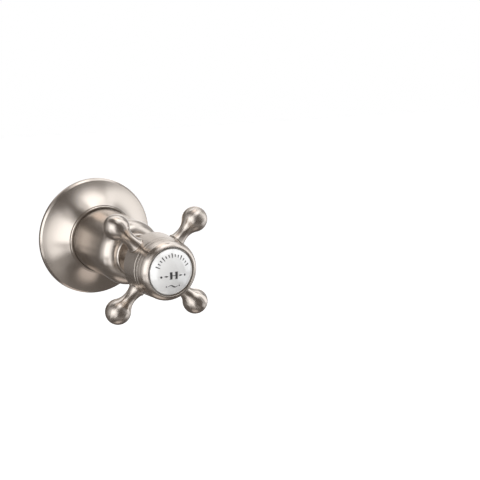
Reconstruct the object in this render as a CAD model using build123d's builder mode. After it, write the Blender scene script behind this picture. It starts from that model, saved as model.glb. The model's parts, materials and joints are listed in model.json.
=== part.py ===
from build123d import *
import os
from math import acos, cos, degrees, hypot, radians, sin

# A concealed stop valve with a cross handle. The finished wall is the plane y = 0, the valve's axis is
# the Y axis, the handle stands out towards -Y and the pipework hides behind the wall, at +Y. Every
# distance named "..._out" is measured from the wall towards the handle; behind the wall it is negative.

# Pipework and body behind the wall
port_radius = 9.3               # minor radius of a half-inch pipe thread
port_depth = 8.5
port_wall = 2.7                 # at the middle of a spanner flat
port_chamfer = 1.0
flats_length = 9.0
barrel_wall = 2.3
body_half_height = 20.5
port_setback = 16.0             # port axis behind the wall
inlet_drill_radius = 4.2
outlet_drill_radius = 2.6
outlet_drill_spacing = 6.8
drill_seat_overlap = 1.7        # how far the outlet drillings cut behind the seat's plane
drill_seal_gap = 0.6
boss_wall = 2.4                 # threaded neck that carries the sleeve
boss_front_out = 6.0
boss_thread_length = 14.0
boss_chamfer = 0.8
belly_step = 0.8
belly_front_edge = 1.6
belly_rear_edge = 4.8
chamber_gap = 1.6
seat_out = -9.3
seat_hole_radius = 4.6
seat_hole_depth = 11.0
neck_step = 0.5
neck_bore_length = 7.0
overcut = 1.0                   # how far a cutting shape runs past the surface that it cuts

# Ceramic discs and headwork
seal_inset = 0.2
seal_thickness = 1.4
disc_radius = 7.8
disc_rim = 1.3
disc_clearance = 0.06
fixed_disc_thickness = 3.0
moving_disc_thickness = 2.6
window_inner_radius = 1.9
window_angle = 76.0
driver_thickness = 2.0
tongue_width = 2.6
tongue_height = 1.2
tongue_inset = 0.5
washer_thickness = 0.5
skirt_wall = 1.14
headwork_flat_step = 1.5        # from the headwork's thread to the middle of a spanner flat
headwork_flats_length = 6.0
headwork_neck_length = 10.0
headwork_chamfer = 0.6
headwork_face_height = 1.2      # round face under the spanner flats
headwork_face_step = 0.6
headwork_ring_thickness = 1.3
headwork_ring_clearance = 0.2
side_window_width = 9.0
side_window_height = 2.8
running_clearance = 0.05
ring_groove_depth = 1.2
ring_groove_width = 2.0
ring_groove_pitch = 4.6
ring_slack = 0.03
first_ring_offset = 6.3         # from the headwork's inner shoulder
clip_thickness = 0.9
clip_groove_depth = 0.8
clip_stand = 1.2                # how far the clip stands out of the spindle
clip_grip = 0.5                 # how far each end of the clip reaches past its mouth
stop_thickness = 2.0
stop_gap = 0.4
stop_wall = 1.3
stop_slack = 1.5                # degrees left free at each end of the quarter turn
quarter_turn = 90.0
stop_lug_angle = 70.0
spline_step = 0.8               # the spindle's shank stands out past its splines by this
spline_depth = 0.5
spline_count = 20
spline_length = 12.0
spline_clearance = 0.08

# Stem and sleeve
stem_radius = 5.4
stem_wall = 1.5
stem_gap = 3.1                  # from the stop ring to the stem's rear end
stem_chamfer = 0.4
spigot_half_width = 3.0
spigot_relief = 1.1             # the spigot stops this far short of the cavity's floor
screw_radius = 2.0
screw_depth = 9.0
grub_radius = 1.5
grub_setback = 3.5
grub_recess = 0.2
carrier_wall = 2.5
carrier_slot_count = 4
carrier_slot_width = 3.0
carrier_slot_depth = 1.5
nut_gap = 0.4
nut_wall = 1.5
lock_nut_length = 2.4
sleeve_wall = 1.95
sleeve_rear_out = 0.8
sleeve_length = 44.4
sleeve_chamfer = 0.3
bead_gap = 0.45                 # fine groove between the sleeve's tube and its shoulder
bead_gap_depth = 0.3
shoulder_round = 8.25
shoulder_swell = 0.15           # how far the shoulder's crest stands out of the tube
shoulder_rise = 12.0            # degrees that the shoulder's arc takes up to its crest
lip_inset = 5.9                 # from the shoulder's crest to the lip
lip_height = 3.85
lip_edge = 1.25
mouth_gap = 1.2
mouth_depth = 0.3
mouth_wall = 5.1
guide_step = 2.4
guide_length = 5.0
guide_lip = 0.4

# Wall flange
flange_radius = 33.0
rim_height = 1.6
rim_draft = 0.24
rim_land = 0.88
rim_land_height = 0.88
dish_front_out = 11.1
dish_sag = 0.7
collar_wall = 1.25
collar_height = 1.0
collar_edge = 0.35
flange_wall = 1.7
flange_clearance = 0.2
flange_ring_thickness = 2.6
flange_ring_setback = 4.1       # behind the dish's front edge
ring_side_room = 0.3
ring_housing_wall = 1.9
gasket_inset = 2.0
gasket_width = 3.0
gasket_thickness = 1.2

# Cross handle
neck_gap = 18.58                # bare stem between the sleeve's lip and the hub
hub_front_radius = 15.5
hub_taper = 0.8
hub_edge = 0.5
hub_nose_length = 2.6
hub_nose_inset = 0.5
hub_nose_crown = 0.12
hub_groove_setbacks = (5.4, 2.7)
hub_groove_flare = 0.7
hub_groove_depth = 0.4
arm_count = 4
first_arm_turn = 45.0
arm_rear_margin = 0.15          # from the hub's rear face to the arms' feet
arm_cover = 0.75                # from the arms' roots to the cavity's floor
arm_root_gap = 1.0
arm_foot_radius = 4.05
arm_foot_height = 0.4
foot_bead = 0.4                 # rounding of the bead where an arm stands on the hub
arm_waist_radius = 3.2
foot_to_waist = 4.4
waist_to_ball = 9.5             # from an arm's waist to the middle of its ball
ball_radius = 6.6
handle_cavity_depth = 7.5
bush_radius = 6.6
bush_length = 3.6
bush_gap = 0.9
screw_end_gap = 1.0
screw_head_radius = 3.8
screw_head_height = 2.4
screw_head_side = 1.4
screw_head_top_radius = 2.7
screw_slot_width = 0.9
screw_slot_depth = 1.2
screw_clearance = 0.2
screw_washer_radius = 5.2
screw_washer_thickness = 0.8

# Index
bezel_seam = 0.4
bezel_seam_inset = 0.9
bezel_inset = 0.15              # the bezel stands this far inside the hub's side
bezel_height = 4.0
bezel_width = 3.1
bezel_rear_round = 0.4
bezel_crown = 0.52
bezel_inner_round = 0.35
bezel_lip_thickness = 2.3
bezel_spigot_length = 2.4
bezel_spigot_wall = 0.65
index_gap = 0.85                # groove between the index and the bezel's lip
index_foot_overlap = 0.4        # how far the bezel's lip holds the index's foot
index_foot_clearance = 0.1
index_foot_thickness = 1.8
index_setback = 0.1             # from the bezel's front to the index's edge
index_crown = 2.8
index_edge = 0.35
cushion_radius = 9.5
cushion_clearance = 0.1

# Working planes: TURNED holds half sections as (radius, distance out from the wall).
TURNED = Plane(origin=(0, 0, 0), x_dir=(1, 0, 0), z_dir=(0, 0, -1))


def facing(out, turn=0.0):
    """A plane across the valve's axis, looking out of the wall, turned about that axis."""
    x_dir = (cos(radians(turn)), 0, sin(radians(turn)))
    return Plane(origin=(0, -out, 0), x_dir=x_dir, z_dir=(0, -1, 0))


def upright(height):
    """A level plane centred on the port axis."""
    return Plane(origin=(0, port_setback, height), x_dir=(1, 0, 0), z_dir=(0, 0, 1))


def section(*points):
    """A closed half section made of straight lines."""
    with BuildSketch(TURNED) as outline:
        with BuildLine():
            Polyline(*points, close=True)
        make_face()
    return outline.sketch


def band(inner, outer, low, high):
    """The half section of a plain ring."""
    return section((inner, low), (outer, low), (outer, high), (inner, high))


def bead(radius, out, thickness):
    """The half section of a round rubber ring."""
    with BuildSketch(TURNED) as outline:
        with Locations((radius, out)):
            Circle(thickness / 2)
    return outline.sketch


def wedge(inner, outer, angle, plane):
    """A sector of a ring, centred on the plane's X direction."""
    half = angle / 2
    with BuildSketch(plane) as outline:
        with BuildLine():
            CenterArc((0, 0), outer, -half, angle)
            CenterArc((0, 0), inner, -half, angle)
            Line(
                (inner * cos(radians(half)), -inner * sin(radians(half))),
                (outer * cos(radians(half)), -outer * sin(radians(half))),
            )
            Line(
                (inner * cos(radians(half)), inner * sin(radians(half))),
                (outer * cos(radians(half)), outer * sin(radians(half))),
            )
        make_face()
    return outline.sketch


def spline(radius, plane):
    """A serrated round with equal teeth."""
    step = 360 / spline_count
    tips = [Vector(radius, 0).rotate(Axis.Z, step * i) for i in range(spline_count)]
    roots = [Vector(radius - spline_depth, 0).rotate(Axis.Z, step * (i + 0.5)) for i in range(spline_count)]
    with BuildSketch(plane) as outline:
        with BuildLine():
            Polyline(*[point for pair in zip(tips, roots) for point in pair], close=True)
        make_face()
    return outline.sketch


# Radii that follow from the sizes above, from the spindle and the discs outwards
spline_radius = stem_radius - stem_wall
spindle_radius = spline_radius + spline_step
spindle_bore_radius = spindle_radius + running_clearance
clip_radius = spindle_radius + clip_stand
stop_inner_radius = clip_radius + stop_gap
headwork_neck_radius = stop_inner_radius + stop_wall
stem_bore_radius = stem_radius + running_clearance
mouth_radius = stem_radius + mouth_gap
guide_radius = mouth_radius + guide_step
window_outer_radius = disc_radius - disc_rim
seal_radius = disc_radius - seal_inset
headwork_skirt_radius = disc_radius + disc_clearance + skirt_wall
neck_bore_radius = headwork_skirt_radius + neck_step
headwork_half_flats = neck_bore_radius + headwork_flat_step
chamber_radius = headwork_skirt_radius + chamber_gap
boss_radius = chamber_radius + boss_wall
belly_radius = boss_radius + belly_step
barrel_radius = port_radius + barrel_wall
port_half_flats = port_radius + port_wall
nut_half_flats = boss_radius + nut_wall
sleeve_bore_radius = boss_radius + carrier_wall
sleeve_radius = sleeve_bore_radius + sleeve_wall
shoulder_radius = sleeve_radius + shoulder_swell
shoulder_centre_radius = shoulder_radius - shoulder_round
shoulder_rear_radius = shoulder_centre_radius + shoulder_round * cos(radians(shoulder_rise))
lip_radius = shoulder_radius - lip_inset
shoulder_fall = degrees(acos((lip_radius - shoulder_centre_radius) / shoulder_round))
collar_bore_radius = sleeve_radius + flange_clearance
collar_radius = collar_bore_radius + collar_wall
gasket_outer_radius = flange_radius - gasket_inset
gasket_inner_radius = gasket_outer_radius - gasket_width
hub_rear_radius = hub_front_radius + hub_taper
foot_reach = hub_rear_radius + arm_foot_height
waist_reach = foot_reach + foot_to_waist
ball_reach = waist_reach + waist_to_ball
arm_root_radius = arm_foot_radius + foot_bead
bezel_radius = hub_front_radius - bezel_inset
bezel_inner_radius = hub_front_radius - bezel_width
index_radius = bezel_inner_radius - index_gap
index_foot_radius = bezel_inner_radius + index_foot_overlap
bezel_bore_radius = index_foot_radius + index_foot_clearance
handle_cavity_radius = bezel_bore_radius + bezel_spigot_wall

# Places along the axis that follow from the sizes above
port_floor = body_half_height - port_depth
disc_seat_out = seat_out + seal_thickness
fixed_disc_front = disc_seat_out + fixed_disc_thickness
moving_disc_front = fixed_disc_front + moving_disc_thickness
driver_front = moving_disc_front + driver_thickness
headwork_shoulder_out = driver_front + washer_thickness
first_ring_out = headwork_shoulder_out + first_ring_offset
headwork_flats_front = boss_front_out + headwork_flats_length
headwork_front = headwork_flats_front + headwork_neck_length
clip_front = headwork_front + clip_thickness
stop_front = clip_front + stop_thickness
spindle_front = stop_front + spline_length
stem_rear_out = stop_front + stem_gap
grub_out = stem_rear_out + grub_setback
sleeve_front_out = sleeve_rear_out + sleeve_length
shoulder_out = sleeve_front_out + bead_gap
shoulder_crest_out = shoulder_out + shoulder_round * sin(radians(shoulder_rise))
lip_rear_out = shoulder_crest_out + shoulder_round * sin(radians(shoulder_fall))
lip_out = lip_rear_out + lip_height
mouth_out = lip_out - mouth_depth
guide_front_out = mouth_out - mouth_wall
guide_rear_out = guide_front_out - guide_length
lock_nut_rear = port_half_flats - port_setback + nut_gap
carrier_rear = lock_nut_rear + lock_nut_length
flange_ring_out = dish_front_out - flange_ring_setback
collar_front_out = dish_front_out + collar_height
hub_rear_out = lip_out + neck_gap
arm_plane_out = hub_rear_out + arm_rear_margin + arm_root_radius
cavity_floor_out = arm_plane_out + arm_root_radius + arm_cover
hub_front_out = cavity_floor_out + handle_cavity_depth
bush_rear_out = cavity_floor_out - bush_length
stem_front_out = bush_rear_out - bush_gap
spigot_front_out = cavity_floor_out - spigot_relief
bezel_rear_out = hub_front_out + bezel_seam
bezel_front_out = bezel_rear_out + bezel_height
bezel_lip_rear = bezel_front_out - bezel_lip_thickness
bezel_spigot_rear = hub_front_out - bezel_spigot_length
index_rear_out = bezel_lip_rear - index_foot_thickness
index_edge_out = bezel_front_out - index_setback

# Brass body: an upright barrel with hexagon ends, a belly round the seat and a threaded neck to the front
with BuildPart() as valve_body:
    with BuildSketch(upright(-body_half_height)):
        Circle(barrel_radius)
    extrude(amount=2 * body_half_height)
    for bottom in (-body_half_height, body_half_height - flats_length):
        with BuildSketch(upright(bottom)):
            RegularPolygon(port_half_flats, 6, major_radius=False)
        extrude(amount=flats_length)
    end_faces = valve_body.faces().filter_by(Axis.Z).group_by(Axis.Z)
    chamfer((end_faces[0] + end_faces[-1]).edges(), port_chamfer)
    belly_rear = -port_setback - barrel_radius
    belly_front = boss_front_out - boss_thread_length
    revolve(
        section(
            (0, belly_rear),
            (belly_radius - belly_rear_edge, belly_rear),
            (belly_radius, belly_rear + belly_rear_edge),
            (belly_radius, belly_front - belly_front_edge),
            (boss_radius, belly_front),
            (boss_radius, boss_front_out),
            (0, boss_front_out),
        ),
        axis=Axis.Y,
    )
    # Water way: port, drilling, seat, disc chamber, twin drillings, port
    for bottom in (-body_half_height, port_floor):
        with BuildSketch(upright(bottom)):
            Circle(port_radius)
        extrude(amount=port_depth, mode=Mode.SUBTRACT)
    revolve(
        section(
            (0, seat_out - seat_hole_depth),
            (seat_hole_radius, seat_out - seat_hole_depth),
            (seat_hole_radius, seat_out),
            (chamber_radius, seat_out),
            (chamber_radius, boss_front_out - neck_bore_length),
            (neck_bore_radius, boss_front_out - neck_bore_length),
            (neck_bore_radius, boss_front_out),
            (0, boss_front_out),
        ),
        axis=Axis.Y,
        mode=Mode.SUBTRACT,
    )
    with BuildSketch(upright(-port_floor)):
        Circle(inlet_drill_radius)
    extrude(amount=port_floor, mode=Mode.SUBTRACT)
    outlet_drill_setback = -seat_out - outlet_drill_radius + drill_seat_overlap
    with BuildSketch(Plane(origin=(0, outlet_drill_setback, port_floor), x_dir=(1, 0, 0), z_dir=(0, 0, 1))):
        with GridLocations(outlet_drill_spacing, 1, 2, 1):
            Circle(outlet_drill_radius)
    extrude(amount=seal_radius + drill_seal_gap - port_floor, mode=Mode.SUBTRACT)
    boss_end = valve_body.faces().sort_by(Axis.Y)[0]
    chamfer(boss_end.edges().sort_by(SortBy.RADIUS)[-1], boss_chamfer)

# Rubber seal between the body's seat and the fixed disc
with BuildPart() as disc_seal:
    revolve(band(seat_hole_radius, seal_radius, seat_out, disc_seat_out), axis=Axis.Y)

# Fixed ceramic disc: two windows, left and right of the axis
with BuildPart() as fixed_disc:
    with BuildSketch(facing(disc_seat_out)):
        Circle(disc_radius)
    extrude(amount=fixed_disc_thickness)
    for turn in (0, 180):
        window = wedge(window_inner_radius, window_outer_radius, window_angle, facing(disc_seat_out, turn))
        extrude(window, amount=fixed_disc_thickness, mode=Mode.SUBTRACT)

# Moving ceramic disc: the same windows, a quarter turn away while the valve is shut, and a driving slot
with BuildPart() as moving_disc:
    with BuildSketch(facing(fixed_disc_front + disc_clearance)):
        Circle(disc_radius - disc_clearance)
    extrude(amount=moving_disc_thickness - disc_clearance)
    for turn in (90, 270):
        face = facing(fixed_disc_front + disc_clearance, turn)
        gap = wedge(window_inner_radius, disc_radius + overcut, window_angle, face)
        extrude(gap, amount=moving_disc_thickness, mode=Mode.SUBTRACT)
    with BuildSketch(facing(moving_disc_front)):
        Rectangle(2 * (disc_radius + overcut), tongue_width + disc_clearance)
    extrude(amount=-tongue_height - disc_clearance, mode=Mode.SUBTRACT)

# Spindle: driving foot with a tongue, plain shank with two ring grooves, clip groove and splined end
with BuildPart() as spindle:
    driver_radius = disc_radius - disc_clearance
    revolve(band(0, driver_radius, moving_disc_front, driver_front), axis=Axis.Y)
    revolve(band(0, spindle_radius, driver_front, stop_front), axis=Axis.Y)
    with BuildSketch(facing(moving_disc_front)):
        Rectangle(2 * (driver_radius - tongue_inset), tongue_width - disc_clearance)
    extrude(amount=-tongue_height)
    extrude(spline(spline_radius, facing(stop_front)), amount=spline_length)
    for groove in range(2):
        middle = first_ring_out + groove * ring_groove_pitch
        revolve(
            band(
                spindle_radius - ring_groove_depth,
                spindle_radius + overcut,
                middle - ring_groove_width / 2,
                middle + ring_groove_width / 2,
            ),
            axis=Axis.Y,
            mode=Mode.SUBTRACT,
        )
    revolve(
        band(spindle_radius - clip_groove_depth, spindle_radius + overcut, headwork_front, clip_front),
        axis=Axis.Y,
        mode=Mode.SUBTRACT,
    )

# Two rubber rings that keep the spindle tight
with BuildPart() as spindle_rings:
    ring_thickness = ring_groove_depth + running_clearance - ring_slack
    for groove in range(2):
        middle = first_ring_out + groove * ring_groove_pitch
        ring_radius = spindle_radius - ring_groove_depth + ring_thickness / 2
        revolve(bead(ring_radius, middle, ring_thickness), axis=Axis.Y)

# Slippery washer under the headwork's shoulder
with BuildPart() as glide_washer:
    washer_radius = disc_radius - disc_clearance
    revolve(band(spindle_bore_radius, washer_radius, driver_front, headwork_shoulder_out), axis=Axis.Y)

# Headwork: the screwed bonnet that holds the discs and guides the spindle
with BuildPart() as headwork:
    with BuildSketch(facing(boss_front_out + headwork_face_height)):
        RegularPolygon(headwork_half_flats, 6, major_radius=False)
    extrude(amount=headwork_flats_length - headwork_face_height)
    chamfer(headwork.faces().sort_by(Axis.Y)[0].edges(), headwork_chamfer)
    face_radius = headwork_half_flats + headwork_face_step
    revolve(
        section(
            (0, disc_seat_out),
            (headwork_skirt_radius, disc_seat_out),
            (headwork_skirt_radius, boss_front_out - neck_bore_length),
            (neck_bore_radius, boss_front_out - neck_bore_length),
            (neck_bore_radius, boss_front_out),
            (face_radius, boss_front_out),
            (face_radius, boss_front_out + headwork_face_height),
            (headwork_neck_radius, headwork_flats_front),
            (headwork_neck_radius, headwork_front),
            (0, headwork_front),
        ),
        axis=Axis.Y,
    )
    revolve(
        section(
            (0, disc_seat_out),
            (disc_radius + disc_clearance, disc_seat_out),
            (disc_radius + disc_clearance, headwork_shoulder_out),
            (spindle_bore_radius, headwork_shoulder_out),
            (spindle_bore_radius, headwork_front),
            (0, headwork_front),
        ),
        axis=Axis.Y,
        mode=Mode.SUBTRACT,
    )
    # Side windows let the water out above the moving disc
    window_middle = (fixed_disc_front + moving_disc_front) / 2
    with BuildSketch(Plane(origin=(0, -window_middle, -headwork_skirt_radius - overcut), z_dir=(0, 0, 1))):
        Rectangle(side_window_width, side_window_height)
    extrude(amount=2 * (headwork_skirt_radius + overcut), mode=Mode.SUBTRACT)
    # Stop wall round the front, open where the stop ring's lug sweeps
    sweep_angle = stop_lug_angle + quarter_turn + 2 * stop_slack
    wall_middle = facing(headwork_front, 180 - quarter_turn / 2)
    stop_sector = wedge(stop_inner_radius, headwork_neck_radius, 360 - sweep_angle, wall_middle)
    extrude(stop_sector, amount=clip_thickness + stop_thickness)

# Ring that seals the headwork in the body's neck
with BuildPart() as headwork_ring:
    revolve(
        band(
            headwork_skirt_radius,
            chamber_radius - headwork_ring_clearance,
            boss_front_out - neck_bore_length - headwork_ring_thickness,
            boss_front_out - neck_bore_length,
        ),
        axis=Axis.Y,
    )

# Wire clip that keeps the spindle in
with BuildPart() as spindle_clip:
    clip_bore_radius = spindle_radius - clip_groove_depth
    with BuildSketch(facing(headwork_front + running_clearance)):
        Circle(clip_radius)
        Circle(clip_bore_radius, mode=Mode.SUBTRACT)
        with Locations((0, -clip_radius)):
            Rectangle(2 * (clip_bore_radius - clip_grip), 2 * clip_radius, mode=Mode.SUBTRACT)
    extrude(amount=clip_thickness - 2 * running_clearance)

# Stop ring: its lug swings between the ends of the headwork's stop wall
with BuildPart() as stop_ring:
    revolve(band(spindle_radius, clip_radius, clip_front, stop_front), axis=Axis.Y)
    lug = wedge(
        (spindle_radius + clip_radius) / 2,
        headwork_neck_radius - running_clearance,
        stop_lug_angle,
        facing(clip_front, -quarter_turn),
    )
    extrude(lug, amount=stop_thickness)

# Carrier: screwed ring on the body's neck that the sleeve screws on
with BuildPart() as sleeve_carrier:
    revolve(band(boss_radius, sleeve_bore_radius, carrier_rear, boss_front_out), axis=Axis.Y)
    with BuildSketch(facing(boss_front_out)):
        with PolarLocations((boss_radius + sleeve_bore_radius) / 2, carrier_slot_count):
            Rectangle(sleeve_bore_radius - boss_radius + overcut, carrier_slot_width)
    extrude(amount=-carrier_slot_depth, mode=Mode.SUBTRACT)

# Lock nut behind the carrier
with BuildPart() as lock_nut:
    with BuildSketch(facing(lock_nut_rear)):
        RegularPolygon(nut_half_flats, 6, major_radius=False)
        Circle(boss_radius, mode=Mode.SUBTRACT)
    extrude(amount=lock_nut_length)

# Sleeve: turned tube with a fine groove, a round shoulder and a raised lip round its mouth
with BuildPart() as sleeve:
    with BuildSketch(TURNED):
        with BuildLine():
            Polyline(
                (sleeve_bore_radius, sleeve_rear_out),
                (sleeve_radius - sleeve_chamfer, sleeve_rear_out),
                (sleeve_radius, sleeve_rear_out + sleeve_chamfer),
                (sleeve_radius, sleeve_front_out),
                (sleeve_radius - bead_gap_depth, sleeve_front_out + bead_gap / 2),
                (shoulder_rear_radius, shoulder_out),
            )
            CenterArc(
                (shoulder_centre_radius, shoulder_crest_out),
                shoulder_round,
                start_angle=-shoulder_rise,
                arc_size=shoulder_rise + shoulder_fall,
            )
            lip_side = Line((lip_radius, lip_rear_out), (lip_radius, lip_out - lip_edge))
            lip = TangentArc(lip_side @ 1, (lip_radius - lip_edge, lip_out), tangent=(0, 1))
            Polyline(
                lip @ 1,
                (lip_radius - lip_edge - mouth_depth, mouth_out),
                (mouth_radius, mouth_out),
                (mouth_radius, guide_front_out),
                (guide_radius, guide_front_out),
                (guide_radius, guide_rear_out),
                (sleeve_bore_radius, guide_rear_out),
                (sleeve_bore_radius, sleeve_rear_out),
            )
        make_face()
    revolve(axis=Axis.Y)

# Nylon bush that steadies the stem in the sleeve's mouth
with BuildPart() as stem_guide:
    revolve(
        section(
            (stem_bore_radius, guide_rear_out),
            (guide_radius, guide_rear_out),
            (guide_radius, guide_front_out),
            (mouth_radius, guide_front_out),
            (mouth_radius - guide_lip, guide_front_out + guide_lip),
            (stem_bore_radius, guide_front_out + guide_lip),
        ),
        axis=Axis.Y,
    )

# Stem: splined socket for the spindle behind, square spigot and screw hole in front
with BuildPart() as stem:
    revolve(band(0, stem_radius, stem_rear_out, stem_front_out), axis=Axis.Y)
    chamfer(stem.edges(), stem_chamfer)
    with BuildSketch(facing(stem_front_out)):
        Rectangle(2 * spigot_half_width, 2 * spigot_half_width)
    extrude(amount=spigot_front_out - stem_front_out)
    extrude(
        spline(spline_radius + spline_clearance, facing(stem_rear_out)),
        amount=spindle_front - stem_rear_out + spline_clearance,
        mode=Mode.SUBTRACT,
    )
    with BuildSketch(facing(spigot_front_out)):
        Circle(screw_radius)
    extrude(amount=-screw_depth, mode=Mode.SUBTRACT)
    with BuildSketch(Plane(origin=(0, -grub_out, 0), z_dir=(0, 0, 1))):
        Circle(grub_radius)
    extrude(amount=stem_radius + overcut, mode=Mode.SUBTRACT)

# Grub screw that locks the stem on the spindle
with BuildPart() as grub_screw:
    with BuildSketch(Plane(origin=(0, -grub_out, spline_radius + spline_clearance), z_dir=(0, 0, 1))):
        Circle(grub_radius)
    extrude(amount=stem_radius - spline_radius - 2 * spline_clearance - grub_recess)

# Wall flange: a bell-shaped dish that slides on the sleeve, hollow behind
with BuildPart() as wall_flange:
    rim_reach = flange_radius - rim_draft - rim_land
    rim_out = rim_height + rim_land_height
    dish_slope = (dish_front_out - rim_out) / (rim_reach - collar_radius - collar_edge)
    groove_radius = sleeve_radius + running_clearance + flange_ring_thickness
    groove_half = flange_ring_thickness / 2 + ring_side_room
    housing_radius = groove_radius + ring_housing_wall
    housing_rear = flange_ring_out - groove_half - flange_wall
    hollow_depth = (flange_wall + dish_sag) * hypot(1, dish_slope)
    hollow_out = rim_out + (rim_reach - housing_radius) * dish_slope - hollow_depth
    with BuildSketch(TURNED):
        with BuildLine():
            rim = Polyline(
                (gasket_outer_radius, 0),
                (flange_radius, 0),
                (flange_radius - rim_draft, rim_height),
                (rim_reach, rim_out),
            )
            dish = SagittaArc(rim @ 1, (collar_radius + collar_edge, dish_front_out), dish_sag)
            collar = Polyline(
                dish @ 1,
                (collar_radius, dish_front_out),
                (collar_radius, collar_front_out - collar_edge),
                (collar_radius - collar_edge, collar_front_out),
                (collar_bore_radius, collar_front_out),
            )
            Polyline(
                collar @ 1,
                (collar_bore_radius, flange_ring_out + groove_half),
                (groove_radius, flange_ring_out + groove_half),
                (groove_radius, flange_ring_out - groove_half),
                (collar_bore_radius, flange_ring_out - groove_half),
                (collar_bore_radius, housing_rear),
                (housing_radius, housing_rear),
                (housing_radius, hollow_out),
                (gasket_inner_radius, gasket_thickness),
                (gasket_outer_radius, gasket_thickness),
                (gasket_outer_radius, 0),
            )
        make_face()
    revolve(axis=Axis.Y)

# Rubber ring in the flange's collar: it grips the sleeve
with BuildPart() as flange_ring:
    grip_radius = sleeve_radius + running_clearance + flange_ring_thickness / 2
    revolve(bead(grip_radius, flange_ring_out, flange_ring_thickness), axis=Axis.Y)

# Foam gasket between the flange and the wall
with BuildPart() as flange_gasket:
    revolve(band(gasket_inner_radius, gasket_outer_radius, 0, gasket_thickness), axis=Axis.Y)

# One arm of the handle, along +X: beaded foot, waist and ball. The arc from the waist meets the ball's
# circle without a corner, which sets its radius.
with BuildPart() as arm:
    waist = (waist_reach, arm_waist_radius)
    blend_radius = (waist_to_ball**2 + arm_waist_radius**2 - ball_radius**2) / (
        2 * (ball_radius - arm_waist_radius)
    )
    ball_share = ball_radius / (ball_radius + blend_radius)
    ball_start = (ball_reach - waist_to_ball * ball_share, (arm_waist_radius + blend_radius) * ball_share)
    with BuildSketch(Plane(origin=(0, -arm_plane_out, 0), x_dir=(1, 0, 0), z_dir=(0, 0, -1))):
        with BuildLine():
            foot = TangentArc(waist, (foot_reach, arm_foot_radius), tangent=(-1, 0))
            bead_round = TangentArc(foot @ 1, (foot_reach - foot_bead, arm_root_radius), tangent=(0, 1))
            blend = TangentArc(waist, ball_start, tangent=(1, 0))
            Polyline(
                blend @ 1,
                (ball_start[0], 0),
                (bush_radius + arm_root_gap, 0),
                (bush_radius + arm_root_gap, arm_root_radius),
                bead_round @ 1,
            )
        make_face()
    revolve(axis=Axis((0, -arm_plane_out, 0), (1, 0, 0)))
    with Locations((ball_reach, -arm_plane_out, 0)):
        Sphere(ball_radius)

# Cross handle: hub and four arms, one casting
with BuildPart() as handle:
    with BuildSketch(TURNED):
        with BuildLine():
            side = Polyline(
                (stem_bore_radius, hub_rear_out),
                (hub_rear_radius - hub_edge, hub_rear_out),
                (hub_rear_radius, hub_rear_out + hub_edge),
                (hub_front_radius, hub_front_out - hub_nose_length),
            )
            nose = SagittaArc(side @ 1, (hub_front_radius - hub_nose_inset, hub_front_out), -hub_nose_crown)
            Polyline(
                nose @ 1,
                (handle_cavity_radius, hub_front_out),
                (handle_cavity_radius, cavity_floor_out),
                (bush_radius, cavity_floor_out),
                (bush_radius, bush_rear_out),
                (stem_bore_radius, stem_front_out),
                (stem_bore_radius, hub_rear_out),
            )
        make_face()
    revolve(axis=Axis.Y)
    for number in range(arm_count):
        add(arm.part.rotate(Axis.Y, first_arm_turn + number * 360 / arm_count))
    for setback in hub_groove_setbacks:
        groove_out = hub_front_out - setback
        revolve(
            section(
                (hub_front_radius - hub_groove_depth, groove_out),
                (hub_rear_radius, groove_out - hub_groove_flare),
                (hub_rear_radius, groove_out + hub_groove_flare),
            ),
            axis=Axis.Y,
            mode=Mode.SUBTRACT,
        )

# Square bush pressed into the hub
with BuildPart() as spline_bush:
    with BuildSketch(facing(bush_rear_out)):
        Circle(bush_radius)
        Rectangle(2 * spigot_half_width, 2 * spigot_half_width, mode=Mode.SUBTRACT)
    extrude(amount=bush_length)

# Washer and screw that hold the handle on the stem
screw_head_rear = cavity_floor_out + screw_washer_thickness
screw_head_front = screw_head_rear + screw_head_height

with BuildPart() as screw_washer:
    revolve(
        band(screw_radius + screw_clearance, screw_washer_radius, cavity_floor_out, screw_head_rear),
        axis=Axis.Y,
    )

with BuildPart() as handle_screw:
    screw_end = spigot_front_out - screw_depth + screw_end_gap
    revolve(
        section(
            (0, screw_end),
            (screw_radius, screw_end),
            (screw_radius, screw_head_rear),
            (screw_head_radius, screw_head_rear),
            (screw_head_radius, screw_head_rear + screw_head_side),
            (screw_head_top_radius, screw_head_front),
            (0, screw_head_front),
        ),
        axis=Axis.Y,
    )
    for turn in (0, 90):
        with BuildSketch(facing(screw_head_front, turn)):
            Rectangle(screw_head_radius, screw_slot_width)
        extrude(amount=-screw_slot_depth, mode=Mode.SUBTRACT)

# Bezel: rolled ring whose lip holds the index, with a spigot in the hub's cavity
with BuildPart() as index_bezel:
    with BuildSketch(TURNED):
        with BuildLine():
            seam = Polyline(
                (bezel_bore_radius, bezel_spigot_rear),
                (handle_cavity_radius, bezel_spigot_rear),
                (handle_cavity_radius, hub_front_out),
                (hub_front_radius - bezel_seam_inset, hub_front_out),
                (hub_front_radius - bezel_seam_inset, bezel_rear_out),
                (bezel_radius - bezel_rear_round, bezel_rear_out),
            )
            rear_round = TangentArc(
                seam @ 1, (bezel_radius, bezel_rear_out + bezel_rear_round), tangent=(1, 0)
            )
            roll = SagittaArc(
                rear_round @ 1, (bezel_inner_radius + bezel_inner_round, bezel_front_out), -bezel_crown
            )
            inner_round = TangentArc(
                roll @ 1, (bezel_inner_radius, bezel_front_out - bezel_inner_round), tangent=(-1, 0)
            )
            Polyline(
                inner_round @ 1,
                (bezel_inner_radius, bezel_lip_rear),
                (bezel_bore_radius, bezel_lip_rear),
                (bezel_bore_radius, bezel_spigot_rear),
            )
        make_face()
    revolve(axis=Axis.Y)

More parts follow.
